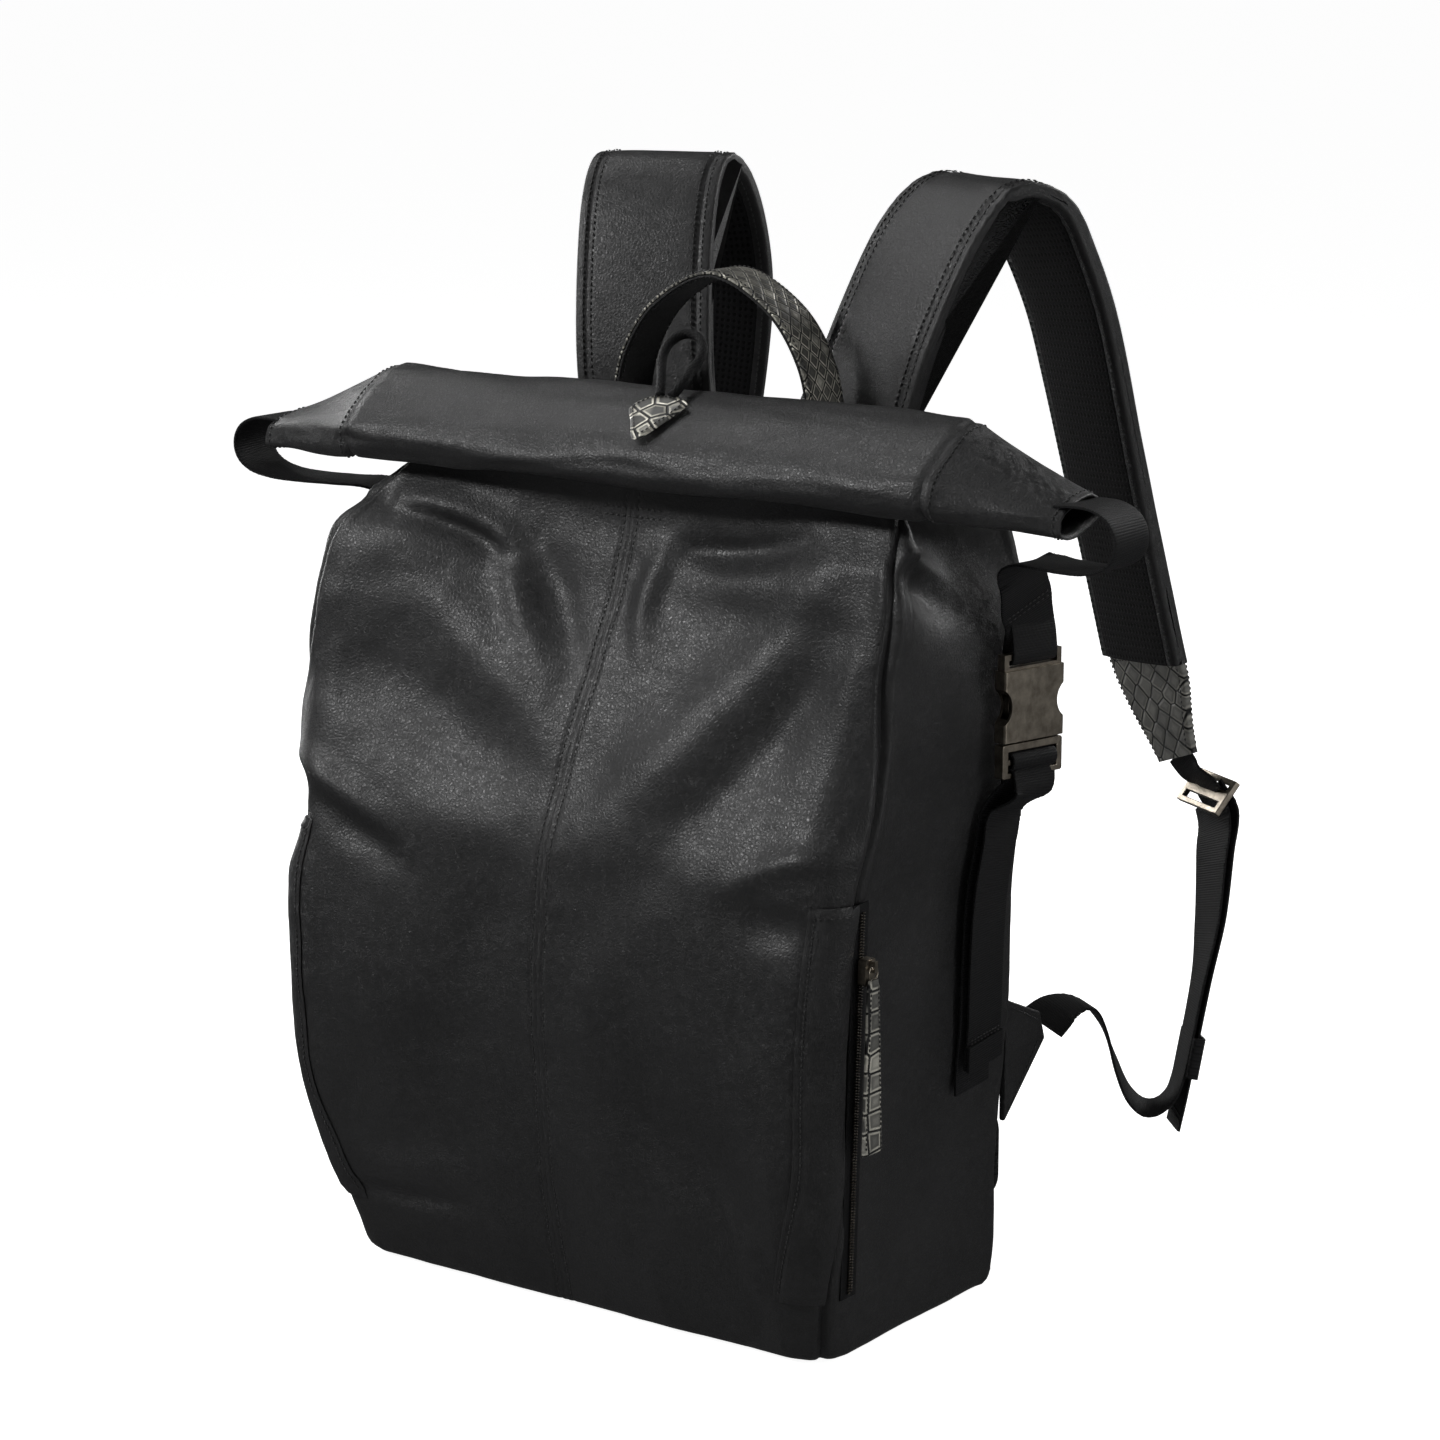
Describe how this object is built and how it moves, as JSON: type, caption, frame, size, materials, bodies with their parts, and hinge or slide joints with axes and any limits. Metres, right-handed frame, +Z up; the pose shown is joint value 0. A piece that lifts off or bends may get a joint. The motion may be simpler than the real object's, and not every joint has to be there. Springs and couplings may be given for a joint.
{
  "type": "leather backpack",
  "caption": "Roll-top leather backpack with side-release buckles, side zip pockets, carry handle, padded shoulder straps and a cord puller.",
  "frame": {"origin": "middle of the bottom face, on the floor", "axes": "+Z up, -Y to the front of the bag, +Y to the wearer and the shoulder straps, +X to the right side seen from the front"},
  "size_m": [0.5416, 0.3209, 0.56],
  "materials": {
    "black_leather": "soft semi-matt full-grain",
    "snakeskin": "embossed scales with rubbed metallic edges",
    "webbing": "close twill webbing",
    "elastic": "ribbed elastic",
    "lining_cloth": "plain woven lining",
    "air_mesh": "padded spacer mesh",
    "board": "stiff sheet",
    "antique_nickel": "antique, brushed, with brighter worn edges",
    "zip_tape": "woven tape with moulded coil",
    "braided_cord": "round braid"
  },
  "bodies": {
    "bag": {"front_panel_left": "black_leather", "front_panel_right": "black_leather", "side_panel_left": "black_leather", "side_panel_right": "black_leather", "base_panel": "black_leather", "back_panel": "black_leather", "top_yoke": "black_leather", "base_board": "board", "back_board": "board", "lining": "lining_cloth", "laptop_sleeve": "lining_cloth", "back_pads": "air_mesh", "side_patch": "snakeskin", "strap_patch": "black_leather", "placket_left": "black_leather", "placket_right": "black_leather", "pocket_bag_left": "lining_cloth", "pocket_bag_right": "lining_cloth", "zip_left": "zip_tape", "zip_right": "zip_tape", "lower_web_left": "webbing", "lower_web_right": "webbing", "anchor_tab_left": "black_leather", "anchor_tab_right": "black_leather"},
    "roll": {"roll_cover": "black_leather", "wound_collar": "lining_cloth", "roll_stiffener": "board", "cord_loop": "braided_cord", "cord_tab": "snakeskin", "roll_end_left": "black_leather", "roll_end_right": "black_leather", "roll_web_left": "webbing", "roll_web_right": "webbing", "buckle_socket_left": "antique_nickel", "buckle_socket_right": "antique_nickel"},
    "handle": {"handle": "snakeskin"},
    "plug_left": {"buckle_plug_left": "antique_nickel", "tail_web_left": "webbing"},
    "prong_rear_left": {"prong_rear_left": "antique_nickel"},
    "prong_front_left": {"prong_front_left": "antique_nickel"},
    "zip_slider_left": {"zip_slider_left": "antique_nickel"},
    "puller_left": {"puller_left": "snakeskin", "puller_ring_left": "antique_nickel"},
    "strap_left": {"shoulder_strap_left": "black_leather", "strap_end_left": "snakeskin", "adjust_web_left": "webbing", "adjuster_left": "antique_nickel"},
    "keeper_left": {"keeper_left": "elastic"},
    "plug_right": {"buckle_plug_right": "antique_nickel", "tail_web_right": "webbing"},
    "prong_rear_right": {"prong_rear_right": "antique_nickel"},
    "prong_front_right": {"prong_front_right": "antique_nickel"},
    "zip_slider_right": {"zip_slider_right": "antique_nickel"},
    "puller_right": {"puller_right": "snakeskin", "puller_ring_right": "antique_nickel"},
    "strap_right": {"shoulder_strap_right": "black_leather", "strap_end_right": "snakeskin", "adjust_web_right": "webbing", "adjuster_right": "antique_nickel"},
    "keeper_right": {"keeper_right": "elastic"}
  },
  "joints": [
    {"name": "roll_lift", "type": "slide", "parent": "bag", "child": "roll", "axis": [0, 0, 1], "range_m": [0, 0.15]},
    {"name": "handle_tilt", "type": "hinge", "parent": "bag", "child": "handle", "pos_m": [0, 0.051, 0.42347], "axis": [1, 0, 0], "range_deg": [0, 24]},
    {"name": "buckle_release_left", "type": "slide", "parent": "bag", "child": "plug_left", "axis": [0, 0, -1], "range_m": [0, 0.022]},
    {"name": "prong_squeeze_rear_left", "type": "slide", "parent": "plug_left", "child": "prong_rear_left", "axis": [0.2419, -0.9703, 0], "range_m": [0, 0.0025], "stiffness_N_per_m": 400, "springref_m": -0.001},
    {"name": "prong_squeeze_front_left", "type": "slide", "parent": "plug_left", "child": "prong_front_left", "axis": [-0.2419, 0.9703, 0], "range_m": [0, 0.0025], "stiffness_N_per_m": 400, "springref_m": -0.001},
    {"name": "pocket_zip_left", "type": "slide", "parent": "bag", "child": "zip_slider_left", "axis": [0.0509, 0.0302, -0.9982], "range_m": [0, 0.15]},
    {"name": "puller_swing_left", "type": "hinge", "parent": "zip_slider_left", "child": "puller_left", "pos_m": [-0.16888, -0.06502, 0.2027], "axis": [0, 1, 0], "range_deg": [0, 110]},
    {"name": "strap_swing_left", "type": "hinge", "parent": "bag", "child": "strap_left", "pos_m": [-0.055, 0.072, 0.406], "axis": [1, 0, 0], "range_deg": [-6, 10]},
    {"name": "keeper_slide_left", "type": "slide", "parent": "strap_left", "child": "keeper_left", "axis": [-0.0814, 0.1989, 0.9766], "range_m": [0, 0.018]},
    {"name": "buckle_release_right", "type": "slide", "parent": "bag", "child": "plug_right", "axis": [0, 0, -1], "range_m": [0, 0.022]},
    {"name": "prong_squeeze_rear_right", "type": "slide", "parent": "plug_right", "child": "prong_rear_right", "axis": [-0.2419, -0.9703, 0], "range_m": [0, 0.0025], "stiffness_N_per_m": 400, "springref_m": -0.001},
    {"name": "prong_squeeze_front_right", "type": "slide", "parent": "plug_right", "child": "prong_front_right", "axis": [0.2419, 0.9703, 0], "range_m": [0, 0.0025], "stiffness_N_per_m": 400, "springref_m": -0.001},
    {"name": "pocket_zip_right", "type": "slide", "parent": "bag", "child": "zip_slider_right", "axis": [-0.0509, 0.0302, -0.9982], "range_m": [0, 0.15]},
    {"name": "puller_swing_right", "type": "hinge", "parent": "zip_slider_right", "child": "puller_right", "pos_m": [0.16888, -0.06502, 0.2027], "axis": [0, 1, 0], "range_deg": [-110, 0]},
    {"name": "strap_swing_right", "type": "hinge", "parent": "bag", "child": "strap_right", "pos_m": [0.055, 0.072, 0.406], "axis": [1, 0, 0], "range_deg": [-6, 10]},
    {"name": "keeper_slide_right", "type": "slide", "parent": "strap_right", "child": "keeper_right", "axis": [0.0814, 0.1989, 0.9766], "range_m": [0, 0.018]}
  ],
  "couplings": [
    {"joint": "prong_squeeze_front_left", "follows": "prong_squeeze_rear_left", "ratio": 1},
    {"joint": "prong_squeeze_front_right", "follows": "prong_squeeze_rear_right", "ratio": 1}
  ]
}
